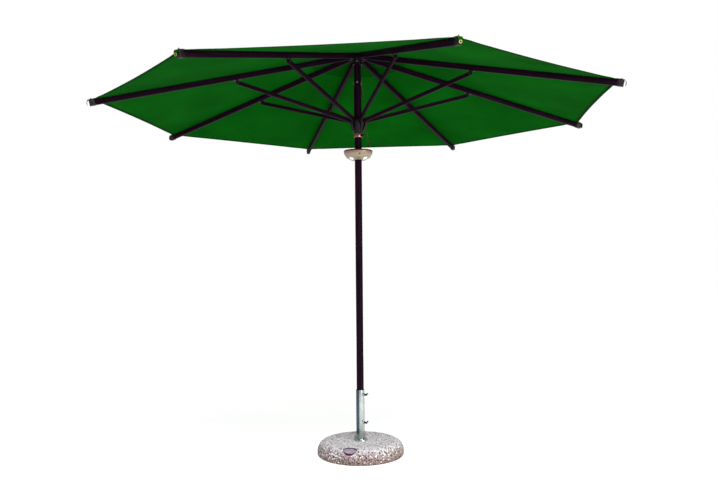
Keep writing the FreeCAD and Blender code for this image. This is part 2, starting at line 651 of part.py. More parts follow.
# bracket pivot relative to the hub pivot, in the rib's upright plane
reach, drop = size("bracket_reach"), size("bracket_drop")
out = reach * math.cos(math.radians(rib_fall)) - drop * math.sin(math.radians(rib_fall))
down = reach * math.sin(math.radians(rib_fall)) + drop * math.cos(math.radians(rib_fall))
link = {"out": out, "drop_to_bracket": down, "span": math.hypot(out, down)}
climb = math.degrees(math.atan2(down, out))

make_foot()
make_mast()
for k in range(RIB_COUNT):
    make_rib(k, rib_fall, f"{rib_length:.6f}")
    make_strut(k, f"{link['span']:.6f}", climb)
    make_gore(k)
make_runner()
make_cord()
make_lamp()
doc.recompute()

print(f"rib falls {rib_fall:.6f} deg, strut climbs {climb:.6f} deg, link {link['span']:.6f} mm")
print(f"runner pivot height {size('hub_pivot_height') - 2 * down:.6f} mm")
faults = [thing.Name for thing in doc.Objects if {"Invalid", "Error"} & set(thing.State)]
faults += [thing.Label for thing in parts if thing.Shape.isNull() or not thing.Shape.isValid()]
if faults:
    raise RuntimeError("failed: " + ", ".join(faults))

os.makedirs("parts", exist_ok=True)
for thing in parts:
    thing.Shape.exportStep(f"parts/{thing.Label}.step")
print(f"{len(parts)} sub-parts written")
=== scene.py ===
import bpy
import json
import math
from mathutils import Matrix, Vector, noise


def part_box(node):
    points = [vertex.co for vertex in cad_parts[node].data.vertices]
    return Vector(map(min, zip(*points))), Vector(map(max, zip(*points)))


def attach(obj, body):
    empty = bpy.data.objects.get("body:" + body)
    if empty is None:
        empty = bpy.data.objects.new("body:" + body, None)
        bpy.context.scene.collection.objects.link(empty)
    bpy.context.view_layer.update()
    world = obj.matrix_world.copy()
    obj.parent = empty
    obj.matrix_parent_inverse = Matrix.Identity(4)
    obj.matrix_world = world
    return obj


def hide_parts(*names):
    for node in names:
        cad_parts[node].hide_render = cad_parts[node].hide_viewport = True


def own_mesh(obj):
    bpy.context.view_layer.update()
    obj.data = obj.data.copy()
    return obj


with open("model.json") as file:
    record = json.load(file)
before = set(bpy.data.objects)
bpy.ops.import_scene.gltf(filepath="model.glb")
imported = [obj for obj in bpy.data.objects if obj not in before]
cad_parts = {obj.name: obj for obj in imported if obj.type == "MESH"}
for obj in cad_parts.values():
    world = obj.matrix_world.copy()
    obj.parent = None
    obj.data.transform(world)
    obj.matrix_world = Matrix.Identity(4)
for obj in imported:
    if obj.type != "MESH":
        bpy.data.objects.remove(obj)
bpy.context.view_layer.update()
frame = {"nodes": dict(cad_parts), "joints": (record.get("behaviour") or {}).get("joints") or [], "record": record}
bpy.ops.object.select_all(action="DESELECT")
joints = {joint["name"]: joint for joint in frame["joints"]}
ribCount = 8
ribPitch = math.radians(360 / ribCount)
up = Vector((0, 0, 1))
print("frame loaded")

# camera: low, in front of the foot and a little to its right, tipped up one degree
viewpoint = {"distance": 4.2177, "height": 1.1583, "turn": 7.05, "tip": 1.093, "roll": -0.0085, "lens": 35.67}


def makeCamera():
    turn, tip = math.radians(viewpoint["turn"]), math.radians(viewpoint["tip"])
    sideways = Vector((math.cos(turn), math.sin(turn), 0))
    level = Vector((-math.sin(turn), math.cos(turn), 0))
    ahead = level * math.cos(tip) + up * math.sin(tip)
    over = up * math.cos(tip) - level * math.sin(tip)
    right = (sideways + over * viewpoint["roll"]).normalized()
    over = (over - sideways * viewpoint["roll"]).normalized()
    data = bpy.data.cameras.new("camera")
    data.lens = viewpoint["lens"]
    data.sensor_width = 36
    camera = bpy.data.objects.new("camera", data)
    bpy.context.scene.collection.objects.link(camera)
    place = level * -viewpoint["distance"] + up * viewpoint["height"]
    camera.matrix_world = Matrix((
        (right.x, over.x, -ahead.x, place.x),
        (right.y, over.y, -ahead.y, place.y),
        (right.z, over.z, -ahead.z, place.z),
        (0, 0, 0, 1),
    ))
    bpy.context.scene.camera = camera


makeCamera()


def tint(red, green, blue):
    # display colour, 0 to 255, as linear light
    def linear(value):
        value = value / 255
        return value / 12.92 if value <= 0.04045 else ((value + 0.055) / 1.055) ** 2.4
    return (linear(red), linear(green), linear(blue), 1)


fullTurn = 6.283


class Wire:
    # a node's output that takes part in sums
    def __init__(self, finish, socket):
        self.finish = finish
        self.socket = socket

    def maths(self, operation, *others):
        node = self.finish.node("Math", {"operation": operation}, [self, *others])
        return Wire(self.finish, node.outputs[0])

    def __add__(self, other):
        return self.maths("ADD", other)

    def __sub__(self, other):
        return self.maths("SUBTRACT", other)

    def __mul__(self, other):
        return self.maths("MULTIPLY", other)

    def __lt__(self, other):
        return self.maths("LESS_THAN", other)

    def __gt__(self, other):
        return self.maths("GREATER_THAN", other)

    def power(self, other):
        return self.maths("POWER", other)

    def sine(self):
        return self.maths("SINE")

    def size(self):
        return self.maths("ABSOLUTE")

    def highest(self, other):
        return self.maths("MAXIMUM", other)

    def wave(self, length):
        # one full turn of the sine for each length
        return (self * (fullTurn / length)).sine()


class Finish:
    # one material: the shader's own numbers first, then what varies over the surface
    def __init__(self, name, **numbers):
        self.material = bpy.data.materials.new(name)
        self.material.use_nodes = True
        self.tree = self.material.node_tree
        self.shader = self.tree.nodes["Principled BSDF"]
        for socket, value in numbers.items():
            self.shader.inputs[socket.replace("_", " ")].default_value = value

    def node(self, kind, settings, sockets):
        node = self.tree.nodes.new("ShaderNode" + kind)
        for name, value in settings.items():
            if name == "stops":
                self.fillRamp(node.color_ramp, value)
            else:
                setattr(node, name, value)
        pairs = sockets.items() if isinstance(sockets, dict) else enumerate(sockets)
        for name, value in pairs:
            if isinstance(value, Wire):
                self.tree.links.new(value.socket, node.inputs[name])
            else:
                node.inputs[name].default_value = value
        return node

    def fillRamp(self, ramp, stops):
        while len(ramp.elements) < len(stops):
            ramp.elements.new(0.5)
        for element, (position, colour) in zip(ramp.elements, stops):
            element.position = position
            element.color = colour

    def out(self, node, output=0):
        return Wire(self, node.outputs[output])

    def place(self, scale=(1, 1, 1), attribute=None):
        if attribute:
            source = self.out(self.node("Attribute", {"attribute_name": attribute}, {}), "Vector")
        else:
            source = self.out(self.node("TexCoord", {}, {}), "Object")
        return self.out(self.node("Mapping", {}, {"Vector": source, "Scale": scale}))

    def parts(self, vector):
        node = self.node("SeparateXYZ", {}, [vector])
        return [self.out(node, axis) for axis in range(3)]

    def cloud(self, vector, scale, detail=3.0, roughness=0.5, distortion=0.0):
        return self.out(self.node("TexNoise", {}, {
            "Vector": vector, "Scale": scale, "Detail": detail, "Roughness": roughness, "Distortion": distortion,
        }), 0)

    def cells(self, vector, scale, output="Distance", feature="F1"):
        return self.out(self.node("TexVoronoi", {"feature": feature}, {"Vector": vector, "Scale": scale}), output)

    def ramp(self, value, stops, steps=False):
        node = self.node("ValToRGB", {"stops": stops}, [value])
        if steps:
            node.color_ramp.interpolation = "CONSTANT"
        return self.out(node)

    def blend(self, share, one, other, kind="MIX"):
        node = self.node("Mix", {"data_type": "RGBA", "blend_type": kind}, {0: share, 6: one, 7: other})
        return self.out(node, 2)

    def between(self, value, low, high, start=0.0, end=1.0):
        sockets = {"Value": value, "From Min": low, "From Max": high, "To Min": start, "To Max": end}
        return self.out(self.node("MapRange", {}, sockets))

    def bump(self, height, distance, strength=1.0):
        return self.out(self.node("Bump", {}, {"Height": height, "Distance": distance, "Strength": strength}))

    def set(self, **wires):
        for socket, wire in wires.items():
            self.tree.links.new(wire.socket, self.shader.inputs[socket.replace("_", " ")])


cloth = {
    "shade": (0, 76, 4), "shadeLight": (2, 94, 10), "seamShade": (0, 40, 2), "stitchShade": (40, 110, 46),
    "thread": 0.0011, "crownDarkRing": 0.3, "seam": 0.013, "hem": 0.024, "seamStitch": 0.0105, "hemStitch": 0.020,
    "stitch": 0.006, "dash": -0.35, "through": 0.22,
}


def awningCloth():
    finish = Finish("awningCloth", Roughness=0.9, Specular_IOR_Level=0.02)
    across, fromHem, along = finish.parts(finish.place(attribute="clothAt"))
    patches = finish.cloud(finish.place(), 3.2, 4.0)
    weave = across.wave(cloth["thread"]) * along.wave(cloth["thread"])
    slub = finish.cloud(finish.place(attribute="clothAt"), 240.0, 2.0)
    seam = (across < cloth["seam"]).highest(fromHem < cloth["hem"])
    dash = along.wave(cloth["stitch"]) > cloth["dash"]
    dashHem = across.wave(cloth["stitch"]) > cloth["dash"]
    stitch = ((across - cloth["seamStitch"]).size() < 0.0007) * dash
    stitch = stitch.highest(((fromHem - cloth["hemStitch"]).size() < 0.0008) * dashHem)
    body = finish.blend(finish.between(patches, 0.3, 0.7), tint(*cloth["shade"]), tint(*cloth["shadeLight"]))
    body = finish.blend(finish.between(slub, 0.3, 0.8, 0.0, 0.25), body, tint(*cloth["seamShade"]))
    body = finish.blend(seam * 0.75, body, tint(*cloth["seamShade"]))
    # darker ring of cloth round the crown, with a darker hoop at its edge
    ring = along < cloth["crownDarkRing"]
    hoop = (along - (cloth["crownDarkRing"] - 0.006)).size() < 0.001
    body = finish.blend(ring * 0.42 + hoop * 0.3, body, tint(*cloth["seamShade"]))
    body = finish.blend(stitch, body, tint(*cloth["stitchShade"]))
    height = weave * 0.25 + slub * 0.5 + seam * 1.2 + stitch * -1.6
    finish.set(Base_Color=body, Normal=finish.bump(height, 0.0005, 0.6))
    through = finish.node("BsdfTranslucent", {}, {})
    finish.tree.links.new(body.socket, through.inputs["Color"])
    mix = finish.node("MixShader", {}, [cloth["through"]])
    finish.tree.links.new(finish.shader.outputs[0], mix.inputs[1])
    finish.tree.links.new(through.outputs[0], mix.inputs[2])
    output = finish.tree.nodes["Material Output"]
    finish.tree.links.new(mix.outputs[0], output.inputs["Surface"])
    return finish.material


stain = {"dark": (10, 3, 10), "mid": (26, 9, 24), "light": (44, 20, 38)}


def mahoganyStain():
    finish = Finish("mahoganyStain", Specular_IOR_Level=0.02, Coat_Weight=0.01, Coat_Roughness=0.35)
    grain = finish.place(scale=(1.6, 38.0, 38.0), attribute="grainAt")
    figure = finish.cloud(grain, 3.2, 6.0, 0.6, 0.8)
    pores = finish.cloud(finish.place(scale=(14.0, 420.0, 420.0), attribute="grainAt"), 2.0, 2.0, 0.7)
    shade = finish.ramp(figure, [(0.25, tint(*stain["dark"])), (0.52, tint(*stain["mid"])),
                                 (0.8, tint(*stain["light"]))])
    pit = finish.between(pores, 0.55, 0.72)
    shade = finish.blend(pit * 0.55, shade, tint(10, 4, 8))
    finish.set(Base_Color=shade, Roughness=finish.between(figure, 0.2, 0.8, 0.42, 0.6),
               Normal=finish.bump(figure * 0.6 - pit * 0.5, 0.0006, 0.35))
    return finish.material


gravel = {
    "pebble": 142.0, "stone": 105.0, "chip": 290.0, "relief": 0.0026, "stoneReach": 0.46, "whiteReach": 0.5,
    "shady": (0.02, 0.086), "footShade": (0.0, 0.03), "washed": (0.062, 0.08), "stoneShading": (0.03, 0.08),
    "whites": (0.14, 0.42), "darks": (0.46, 0.8), "browns": 0.8,
    "white": (254, 252, 255), "dark": (22, 12, 18), "brown": (122, 64, 48),
}


def washedGravel():
    finish = Finish("washedGravel", Roughness=0.8, Specular_IOR_Level=0.35)
    where = finish.place()
    wobble = finish.node("VectorMath", {"operation": "MULTIPLY_ADD"}, [
        finish.out(finish.node("TexNoise", {}, {"Vector": where, "Scale": 90.0}), "Color"),
        (0.004, 0.004, 0.004), where,
    ])
    where = finish.out(wobble)
    stops = [
        (0.0, tint(218, 214, 216)), (0.2, tint(186, 182, 190)), (0.34, tint(238, 236, 238)),
        (0.47, tint(206, 168, 160)), (0.55, tint(156, 152, 160)), (0.64, tint(120, 72, 58)),
        (0.71, tint(214, 206, 200)), (0.82, tint(24, 20, 26)), (0.90, tint(196, 150, 146)),
    ]
    pebbleColour = finish.cells(where, gravel["pebble"], "Color")
    pebble = finish.ramp(finish.parts(pebbleColour)[0], stops, steps=True)
    chipColour = finish.cells(where, gravel["chip"], "Color")
    chip = finish.ramp(finish.parts(chipColour)[1], stops, steps=True)
    edge = finish.cells(where, gravel["pebble"], "Distance", "DISTANCE_TO_EDGE")
    chipEdge = finish.cells(where, gravel["chip"], "Distance", "DISTANCE_TO_EDGE")
    bed = finish.between(edge, 0.05, 0.13, 1.0, 0.0)
    mottled = finish.cloud(where, 420.0, 3.0)
    pebble = finish.blend(finish.between(mottled, 0.35, 0.7, 0.0, 0.45), pebble, tint(168, 160, 158))
    cement = finish.blend(finish.between(chipEdge, 0.03, 0.1, 1.0, 0.0), chip, tint(160, 155, 158))
    shade = finish.blend(bed, pebble, cement)
    shade = finish.blend(finish.between(finish.cloud(where, 7.0, 4.0), 0.45, 0.7, 0.0, 0.3), shade,
                         tint(190, 178, 172))
    # painted shade: darker towards the ground, with more dark and fewer white stones lower down; painted light:
    # paler on top
    height = finish.parts(finish.place())[2]
    stoneColour = finish.parts(finish.cells(where, gravel["stone"], "Color"))
    fromStone = finish.cells(where, gravel["stone"], "Distance")
    # painted shade: the side darkens from the top edge down towards the ground
    shady = finish.between(height, *gravel["shady"], 0.9, 0.0)
    shade = finish.blend(shady, shade, tint(184, 168, 162), "MULTIPLY")
    # painted shade: a browner darkening at the very foot
    footShade = finish.between(height, *gravel["footShade"], 0.4, 0.0)
    shade = finish.blend(footShade, shade, tint(150, 128, 116), "MULTIPLY")
    # painted light: the top is paler, as if lit from above
    shade = finish.blend(finish.between(height, *gravel["washed"], 0.0, 0.55), shade, tint(250, 246, 255))
    # painted shade and light: fewer white and more dark stones lower down, so the lower side reads darker and the
    # top lighter
    whites = finish.between(height, *gravel["stoneShading"], *gravel["whites"])
    darks = finish.between(height, *gravel["stoneShading"], *gravel["darks"])
    white = (stoneColour[0] < whites) * (fromStone < gravel["whiteReach"])
    shade = finish.blend(white * 0.8, shade, tint(*gravel["white"]))
    dark = (stoneColour[0] > darks) * (fromStone < gravel["stoneReach"])
    shade = finish.blend(dark * 0.92, shade, tint(*gravel["dark"]))
    brown = (stoneColour[1] > gravel["browns"]) * (fromStone < gravel["stoneReach"])
    shade = finish.blend(brown * 0.8, shade, tint(*gravel["brown"]))
    dome = finish.between(edge, 0.0, 0.3)
    relief = dome.power(0.5) + finish.between(chipEdge, 0.0, 0.25, 0.0, 0.25) + mottled * 0.08
    wet = finish.between(finish.parts(pebbleColour)[2], 0.0, 1.0, 0.42, 0.85)
    finish.set(Base_Color=shade, Roughness=wet, Normal=finish.bump(relief, gravel["relief"], 0.9))
    return finish.material


zinc = {
    "pale": (186, 191, 185), "blue": (128, 142, 150), "shadeSide": (50, 64, 88), "spangle": 75.0,
    "shadeEdge": (-0.004, 0.003), "shadeFoot": (0.1, 0.13),
}


def galvanised():
    finish = Finish("galvanised", Metallic=0.96)
    where = finish.place(scale=(1, 1, 0.45))
    flake = finish.parts(finish.cells(where, zinc["spangle"], "Color"))
    streak = finish.cloud(finish.place(scale=(30, 30, 1.6)), 3.0, 4.0)
    shade = finish.blend(finish.between(flake[0], 0.0, 1.0, 0.15, 0.6), tint(*zinc["pale"]), tint(*zinc["blue"]))
    shade = finish.blend(finish.between(streak, 0.45, 0.75, 0.0, 0.5), shade, tint(168, 180, 160))
    white = finish.between(finish.cloud(finish.place(), 26.0, 5.0), 0.58, 0.72, 0.0, 0.5)
    shade = finish.blend(white, shade, tint(224, 226, 222))
    # painted shade: blue-grey darkening down the side away from the key light
    spot = finish.parts(finish.place())
    side = finish.between(spot[0] + streak * 0.006, *zinc["shadeEdge"], 1.0, 0.0)
    side = side * finish.between(spot[2], *zinc["shadeFoot"])
    shade = finish.blend(side * 0.94, shade, tint(*zinc["shadeSide"]))
    rough = finish.between(flake[1], 0.0, 1.0, 0.2, 0.34) + white * 0.3
    finish.set(Base_Color=shade, Roughness=rough, Normal=finish.bump(flake[2] + streak * 0.5, 0.0004, 0.3))
    return finish.material


def platedSteel(name, shade, worn, metallic=0.9, rough=(0.25, 0.45), shine=0.4):
    finish = Finish(name, Metallic=metallic, Specular_IOR_Level=shine)
    where = finish.place()
    patch = finish.cloud(where, 60.0, 5.0)
    scratch = finish.cloud(finish.place(scale=(300, 300, 30)), 2.0, 2.0)
    colour = finish.blend(finish.between(patch, 0.4, 0.75), tint(*shade), tint(*worn))
    finish.set(Base_Color=colour, Roughness=finish.between(patch, 0.3, 0.7, *rough),
               Normal=finish.bump(scratch, 0.00015, 0.35))
    return finish.material


def mouldedPlastic(name, shade, worn, rough=0.42, grain=900.0, coat=0.0, shine=0.4):
    finish = Finish(name, Coat_Weight=coat, Coat_Roughness=0.2, Specular_IOR_Level=shine)
    pebbling = finish.cloud(finish.place(), grain, 2.0)
    dirt = finish.cloud(finish.place(), 18.0, 5.0)
    colour = finish.blend(finish.between(dirt, 0.45, 0.75, 0.0, 0.5), tint(*shade), tint(*worn))
    finish.set(Base_Color=colour, Roughness=finish.between(dirt, 0.3, 0.7, rough - 0.07, rough + 0.1),
               Normal=finish.bump(pebbling, 0.0002, 0.25))
    return finish.material


warmShell = {
    "body": (132, 118, 98), "rim": (132, 84, 68), "dirt": (132, 112, 98), "fleck": (184, 172, 148),
    "turning": (1.764, 1.784),
}


def champagneShell():
    # warm satin shell that turns pinkish towards its rim
    finish = Finish("champagneShell", Metallic=0.25, Coat_Weight=0.2, Coat_Roughness=0.25)
    height = finish.parts(finish.place())[2]
    fleck = finish.cloud(finish.place(), 900.0, 2.0)
    dirt = finish.cloud(finish.place(), 30.0, 5.0)
    turned = finish.between(height, *warmShell["turning"])
    shade = finish.blend(turned, tint(*warmShell["body"]), tint(*warmShell["rim"]))
    shade = finish.blend(finish.between(dirt, 0.5, 0.75, 0.0, 0.45), shade, tint(*warmShell["dirt"]))
    shade = finish.blend(finish.between(fleck, 0.35, 0.7, 0.0, 0.3), shade, tint(*warmShell["fleck"]))
    finish.set(Base_Color=shade, Roughness=finish.between(dirt, 0.3, 0.7, 0.3, 0.42),
               Normal=finish.bump(fleck, 0.0001, 0.3))
    return finish.material


lens = {"rib": 0.0014, "clear": (252, 252, 250), "valley": (226, 230, 232), "glow": 0.12}


def lampLens():
    finish = Finish("lampLens", Roughness=0.18, Transmission_Weight=0.2, IOR=1.45, Coat_Weight=0.4)
    ribs = finish.parts(finish.place())[2].wave(lens["rib"])
    colour = finish.blend(finish.between(ribs, -1.0, 1.0), tint(*lens["clear"]), tint(*lens["valley"]))
    finish.set(Base_Color=colour, Normal=finish.bump(ribs, 0.0002, 0.4))
    finish.shader.inputs["Emission Color"].default_value = (1, 1, 1, 1)
    finish.shader.inputs["Emission Strength"].default_value = lens["glow"]
    return finish.material


braid = {"strand": 0.0028, "slant": 1.4, "shade": (38, 0, 8), "raised": (76, 4, 18)}


def braidedCord():
    finish = Finish("braidedCord", Roughness=0.75, Sheen_Weight=0.1)
    x, y, z = finish.parts(finish.place())
    left = (z * 1.0 + x * braid["slant"] + y).wave(braid["strand"])
    right = (z * 1.0 - x * braid["slant"] - y).wave(braid["strand"])
    strands = left * right
    colour = finish.blend(finish.between(strands, -0.6, 0.8), tint(*braid["shade"]), tint(*braid["raised"]))
    finish.set(Base_Color=colour, Normal=finish.bump(strands, 0.0004, 0.7))
    return finish.material


finishes = {
    "cloth": awningCloth(),
    "stain": mahoganyStain(),
    "gravel": washedGravel(),
    "zinc": galvanised(),
    "bolt": platedSteel("zincPlate", (176, 182, 186), (120, 126, 130)),
    "black": mouldedPlastic("blackMoulding", (8, 4, 8), (20, 10, 18), shine=0.14),
    "coated": platedSteel("coatedSteel", (16, 8, 14), (40, 28, 34), 0.2, (0.4, 0.55), 0.25),
    "screw": platedSteel("darkScrew", (44, 44, 50), (92, 92, 96), 0.7, (0.3, 0.5)),
    "brass": platedSteel("dullBrass", (170, 150, 96), (112, 98, 62), 0.95, (0.28, 0.45)),
    "rose": platedSteel("roseCollar", (176, 116, 108), (134, 82, 76), 0.8, (0.22, 0.35)),
    "champagne": champagneShell(),
    "rim": mouldedPlastic("lampLid", (50, 22, 20), (76, 40, 36), 0.4, 1200.0, 0.1),
    "lens": lampLens(),
    "board": mouldedPlastic("solderMask", (230, 230, 224), (206, 206, 200), 0.4, 1500.0),
    "cord": braidedCord(),
    "badge": platedSteel("badgeEnamel", (176, 168, 188), (140, 130, 150), 0.3, (0.3, 0.45)),
    "badgeRim": platedSteel("badgeRim", (96, 14, 16), (60, 16, 14), 0.2, (0.3, 0.45)),
}
print("finishes made")


def pick(*things):
    bpy.ops.object.select_all(action="DESELECT")
    for thing in things:
        thing.select_set(True)
    bpy.context.view_layer.objects.active = things[0]


def editAll(thing):
    pick(thing)
    bpy.ops.object.mode_set(mode="EDIT")
    bpy.ops.mesh.select_all(action="SELECT")


def leaveEdit():
    bpy.ops.object.mode_set(mode="OBJECT")


def modify(thing, kind, **settings):
    pick(thing)
    modifier = thing.modifiers.new(kind.lower(), kind)
    for name, value in settings.items():
        setattr(modifier, name, value)
    bpy.ops.object.modifier_apply(modifier=modifier.name)


def smooth(thing, angle=38):
    pick(thing)
    bpy.ops.object.shade_smooth_by_angle(angle=math.radians(angle))


def settle(thing):
    # the place goes into the mesh, so that the object stands at the origin
    pick(thing)
    bpy.ops.object.transform_apply(location=True, rotation=True, scale=True)


def linked(name, data):
    thing = bpy.data.objects.new(name, data)
    bpy.context.scene.collection.objects.link(thing)
    return thing


def meshPiece(name, points, faces, edges=()):
    mesh = bpy.data.meshes.new(name)
    mesh.from_pydata(points, edges, faces)
    return linked(name, mesh)


def markPoints(thing, attribute, values):
    mark = thing.data.attributes.new(attribute, "FLOAT_VECTOR", "POINT")
    for spot, value in zip(mark.data, values):
        spot.vector = value


def ringPiece(name, height, major, minor, segments):
    bpy.ops.object.select_all(action="DESELECT")
    bpy.ops.mesh.primitive_torus_add(location=(0, 0, height), major_radius=major, minor_radius=minor,
                                     major_segments=segments[0], minor_segments=segments[1])
    ring = bpy.context.object
    ring.name = name
    return ring


def dress(thing, finish):
    thing.data.materials.clear()
    thing.data.materials.append(finishes[finish])


def finishPiece(thing, finish, body, slot, *nodes):
    dress(thing, finish)
    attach(thing, body)
    if nodes:
        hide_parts(*nodes)
    return thing


def bodyOf(node):
    return next(body for body, nodes in frame["record"]["behaviour"]["bodies"].items() if node in nodes)


def softened(node, name, width, finish, slot, segments=2, angle=32):
    # the design's own shape with its edges eased
    piece = linked(name, frame["nodes"][node].data.copy())
    editAll(piece)
    bpy.ops.mesh.remove_doubles(threshold=0.00002)
    bpy.ops.mesh.dissolve_limited(angle_limit=math.radians(0.6))
    leaveEdit()
    modify(piece, "BEVEL", width=width, segments=segments, limit_method="ANGLE", angle_limit=math.radians(angle))
    smooth(piece)
    return finishPiece(piece, finish, bodyOf(node), slot, node)


def markGrain(piece, start, along, side):
    # grain coordinates that follow the timber
    third = along.cross(side)
    offsets = [vertex.co - start for vertex in piece.data.vertices]
    markPoints(piece, "grainAt", [(o.dot(along), o.dot(side), o.dot(third)) for o in offsets])


def ribAzimuth(k):
    return ribPitch * (k + 0.5)


def outward(angle):
    return Vector((math.cos(angle), math.sin(angle), 0))


hubPivot = Vector(joints["rib_1_fold"]["pos_m"])
pivotRadius = math.hypot(hubPivot.x, hubPivot.y)
span = {"tipRadius": 1.5, "tipHeight": 2.002, "cloth": 0.017, "inner": 0.062, "corner": 1.484, "hemSag": 0.015}
ribSlope = (hubPivot.z - span["tipHeight"]) / (span["tipRadius"] - pivotRadius)
ribFall = math.atan(ribSlope)
seamFall = math.atan(ribSlope / math.cos(ribPitch / 2))
ribLength = (span["tipRadius"] - pivotRadius) / math.cos(ribFall)


def clothHeight(radius):
    return hubPivot.z - ribSlope * (radius - pivotRadius) + span["cloth"] * math.hypot(1, ribSlope)


def ribPlane(k):
    # start at the hub pivot, direction along the rib, upward normal, and the sideways direction
    out = outward(ribAzimuth(k))
    along = out * math.cos(ribFall) - up * math.sin(ribFall)
    normal = out * math.sin(ribFall) + up * math.cos(ribFall)
    return out * pivotRadius + up * hubPivot.z, along, normal, normal.cross(along)


# hoist cord: tied above the runner, over the pulley, down beside the runner to its end knot
cordRoute = {
    "diameter": 0.0042, "length": 0.668, "wheelHeight": 2.2, "wrap": 0.0235,
    "tied": (-0.0235, 0, 1.98347),
    "hanging": [(0.052, 0, 1.919), (0.0544, 0, 1.876), (0.0588, 0, 1.850), (0.0646, 0, 1.825)],
}


def tubeAlong(name, points, radius, cyclic=False, weave=6):
    data = bpy.data.curves.new(name, "CURVE")
    data.dimensions = "3D"
    data.bevel_depth = radius
    data.bevel_resolution = weave
    data.use_fill_caps = not cyclic
    spline = data.splines.new("NURBS")
    spline.points.add(len(points) - 1)
    for spot, point in zip(spline.points, points):
        spot.co = (*point, 1)
    spline.order_u = 3
    spline.use_cyclic_u = cyclic
    spline.use_endpoint_u = not cyclic
    spline.resolution_u = 12
    return linked(name, data)


def knotAt(name, centre, reach, lean):
    # a loose trefoil reads as an overhand knot at this size
    points = []
    turnOver = Matrix.Rotation(lean, 3, "Y")
    for step in range(24):
        angle = math.tau * step / 24
        point = Vector((math.sin(angle) + 2 * math.sin(2 * angle), math.cos(angle) - 2 * math.cos(2 * angle),
                        -1.6 * math.sin(3 * angle))) * (reach / 3)
        points.append(Vector(centre) + turnOver @ point)
    thing = tubeAlong(name, points, cordRoute["diameter"] * 0.48, cyclic=True, weave=4)
    pick(thing)
    bpy.ops.object.convert(target="MESH")
    return finishPiece(bpy.context.object, "cord", "mast", "cord", "cord_knots")


def makeCord():
    wrap, wheel = cordRoute["wrap"], cordRoute["wheelHeight"]
    hanging = cordRoute["hanging"]
    corner = wrap / math.cos(math.radians(22.5))
    over = [(corner * math.cos(math.radians(a)), 0, wheel + corner * math.sin(math.radians(a)))
            for a in (157.5, 112.5, 67.5, 25)]
    nearWheel = Vector(hanging[0]).lerp(Vector((wrap, 0, wheel)), 0.9)
    points = [cordRoute["tied"], (-wrap, 0, wheel - 0.026), *over, tuple(nearWheel), *hanging]
    thing = tubeAlong("hoistCord", points, cordRoute["diameter"] / 2)
    finishPiece(thing, "cord", "mast", "cord", "hoist_cord")
    stopper = knotAt("cordStopper", hanging[1], 0.0042, math.pi / 2)
    endKnot = knotAt("cordEndKnot", (hanging[-1][0] + 0.001, 0, hanging[-1][2] - 0.004), 0.0058, math.pi / 2.4)


makeCord()
print("hoist cord laid")

canopy = {
    "rows": 46, "columns": 18, "thickness": 0.0013, "doubled": 1.8, "single": 0.55,
    "hemFold": 0.026, "seamFold": 0.014, "belly": 0.011,
    "pucker": 0.0017, "puckerRays": 17, "puckerFade": 0.24, "puckerStart": 0.06,
    "foldLean": 32.3, "foldKeep": 0.04, "foldAt": 0.1,
}


def hemRadius(share):
    # the hem curves inward between two corners; share runs from the rib to the seam
    pull = math.cos(seamFall) / math.cos(ribPitch / 2)
    return span["corner"] - span["hemSag"] * pull * (1 - (1 - share) ** 2)


def rowShares():
    # rows crowd together at the hem fold
    rows = canopy["rows"]
    return [0.985 * (step / (rows - 3)) ** 0.92 for step in range(rows - 2)] + [0.9925, 1.0]


def makeHalfGore(k, side):
    name = f"canopy{k + 1}{'Left' if side < 0 else 'Right'}"
    ribWay, middleWay = outward(ribAzimuth(k)), outward(ribAzimuth(k) + side * ribPitch / 2)
    points, marks, faces = [], [], []
    columns = canopy["columns"]
    shares = rowShares()
    for along in shares:
        for column in range(columns + 1):
            across = (column / columns) ** 0.9
            radius = span["inner"] + (hemRadius(across) - span["inner"]) * along
            onRib = ribWay * radius
            onSeam = middleWay * radius * math.cos(ribPitch / 2)
            point = onRib.lerp(onSeam, across) + up * clothHeight(radius)
            hollow = 1 - (1 - across) ** 2
            point.z -= canopy["belly"] * hollow * along * (1.25 - 0.75 * along)
            sideways = across * radius * math.sin(ribPitch / 2)
            fromCorner = math.hypot(sideways, span["corner"] - radius)
            fan = math.atan2(sideways, span["corner"] - radius + 0.02)
            ripple = math.sin(fan * canopy["puckerRays"]) * math.exp(-fromCorner / canopy["puckerFade"])
            ripple *= min(1, fromCorner / canopy["puckerStart"])
            point.z += canopy["pucker"] * ripple * (1 - across)
            points.append(point)
            marks.append((sideways, (hemRadius(across) - radius) / math.cos(ribFall), radius))
    for row in range(len(shares) - 1):
        for column in range(columns):
            a = row * (columns + 1) + column
            b = a + columns + 1
            faces.append((a, b, b + 1, a + 1) if side > 0 else (a, a + 1, b + 1, b))
    thing = meshPiece(name, points, faces)
    markPoints(thing, "clothAt", marks)
    layers = thing.vertex_groups.new(name="layers")
    for index, (sideways, fromHem, _) in enumerate(marks):
        doubled = fromHem < canopy["hemFold"] or sideways < canopy["seamFold"]
        layers.add([index], 1.0 if doubled else canopy["single"], "REPLACE")
    modify(thing, "SOLIDIFY", thickness=canopy["thickness"] * canopy["doubled"], offset=1.0,
           vertex_group="layers", use_even_offset=False)
    smooth(thing, 60)
    dress(thing, "cloth")
    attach(thing, f"rib_{k + 1}")
    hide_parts(f"canopy_gore_{k + 1}")
    return thing


def foldGore(thing, k, side):
    # works out a pleat axis and anchor from the rib plane, but only gives the half gore its own mesh
    start, along, normal, sideways = ribPlane(k)
    lean = math.radians(canopy["foldLean"])
    across = sideways * side
    axis = across * math.cos(lean) - normal * math.sin(lean)
    anchor = start + normal * span["cloth"] + along * canopy["foldAt"]
    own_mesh(thing)


def makeCanopy():
    for k in range(ribCount):
        for side in (-1, 1):
            thing = makeHalfGore(k, side)
            foldGore(thing, k, side)


makeCanopy()
print("canopy stretched")

crown = {"segments": 64, "rings": (0.93, 0.9, 0.75, 0.6, 0.45, 0.3, 0.12), "thickness": 0.0013}


